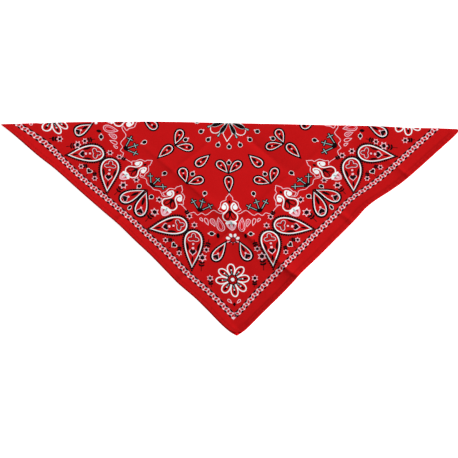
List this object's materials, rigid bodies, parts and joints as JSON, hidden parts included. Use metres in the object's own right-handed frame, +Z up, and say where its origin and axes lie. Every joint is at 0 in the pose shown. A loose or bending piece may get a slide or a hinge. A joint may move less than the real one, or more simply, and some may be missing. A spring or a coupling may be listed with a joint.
{
  "type": "folded cotton bandana",
  "caption": "Square cotton bandana folded corner to corner and laid flat as a triangle, hemmed all round, with traditional paisley print; worn as neck scarf, head scarf or pocket square.",
  "frame": {"origin": "on the surface it lies on, under the middle of the laid triangle's bounding box", "axes": "+X along the folded edge to the blunt tip, +Y from the point towards the folded edge, +Z up out of the top layer"},
  "size_m": [0.8197, 0.3858, 0.0059],
  "materials": {
    "printed_cotton": "plain-weave red cotton, screen printed in white, black and grey-green",
    "hem_cotton": "the same red cotton, turned twice and stitched with red thread"
  },
  "bodies": {
    "root": {"front_half": "printed_cotton", "fold_bend": "printed_cotton", "under_half": "printed_cotton", "front_hem_left": "hem_cotton", "front_hem_right": "hem_cotton", "under_hem_left": "hem_cotton", "under_hem_right": "hem_cotton"}
  },
  "joints": []
}
